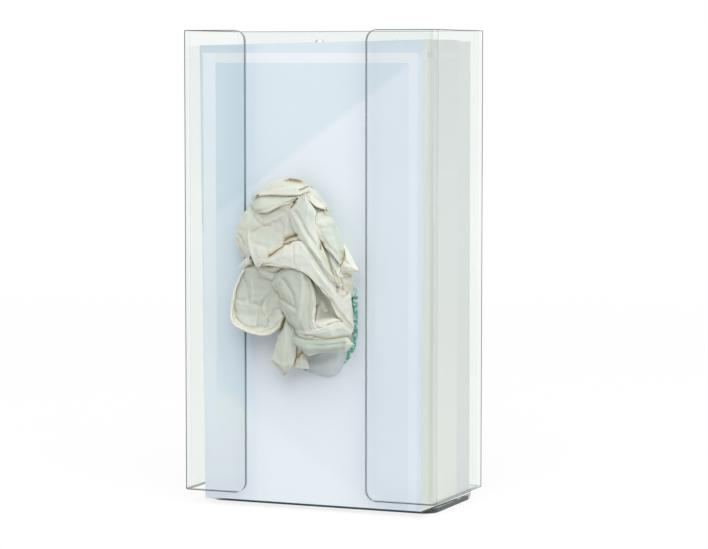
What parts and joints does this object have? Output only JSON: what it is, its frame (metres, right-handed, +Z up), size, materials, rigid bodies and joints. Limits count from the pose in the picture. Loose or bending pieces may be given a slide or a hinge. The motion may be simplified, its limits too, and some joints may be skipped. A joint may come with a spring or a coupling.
{
  "type": "disposable glove dispenser",
  "caption": "Wall holder folded from one clear sheet, gripping a carton of disposable gloves, with one glove drawn out through the oval opening.",
  "frame": {"origin": "on the underside of the shelf, in the middle of the holder's width and depth", "axes": "+Z up along the holder's height, -Y out of the front, +Y towards the wall behind, +X to the right seen from the front"},
  "size_m": [0.1432, 0.0943, 0.2513],
  "materials": {
    "clear_sheet": "polished",
    "paperboard": "satin",
    "latex": "matte"
  },
  "bodies": {
    "root": {"clear_holder": "clear_sheet", "glove_carton": "paperboard", "glove_stack": "latex", "drawn_glove": "latex", "next_glove": "latex"}
  },
  "joints": []
}
